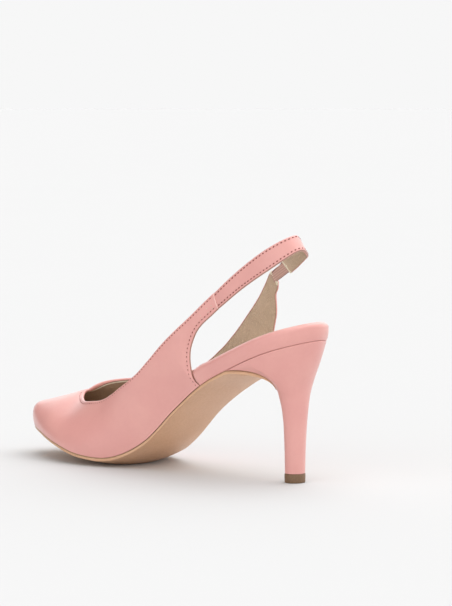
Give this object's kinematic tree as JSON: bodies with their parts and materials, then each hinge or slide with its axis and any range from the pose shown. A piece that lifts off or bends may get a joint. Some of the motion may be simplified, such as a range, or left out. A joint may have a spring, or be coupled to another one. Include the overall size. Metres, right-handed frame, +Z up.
{
  "type": "slingback pump",
  "caption": "Pointed-toe slingback pump with a slender high heel, open quarters, a stitched heel sling with a short elastic, and a thin leather outsole.",
  "frame": {"origin": "middle of the heel tip, on the floor", "axes": "+X towards the toe, +Y to the outer side of the foot, +Z up from the floor"},
  "size_m": [0.2346, 0.0733, 0.1432],
  "materials": {
    "pink_leather": "smooth, semi-gloss",
    "pink_elastic": "ribbed, matte",
    "covered_insole": "smooth, semi-gloss",
    "tan_sole_leather": "smooth, satin",
    "pink_heel_cover": "smooth, semi-gloss",
    "brown_top_piece": "satin"
  },
  "bodies": {
    "root": {"upper": "pink_leather", "sling_strap": "pink_leather", "elastic": "pink_elastic", "insole": "covered_insole", "outsole": "tan_sole_leather", "heel": "pink_heel_cover", "top_piece": "brown_top_piece"}
  },
  "joints": []
}
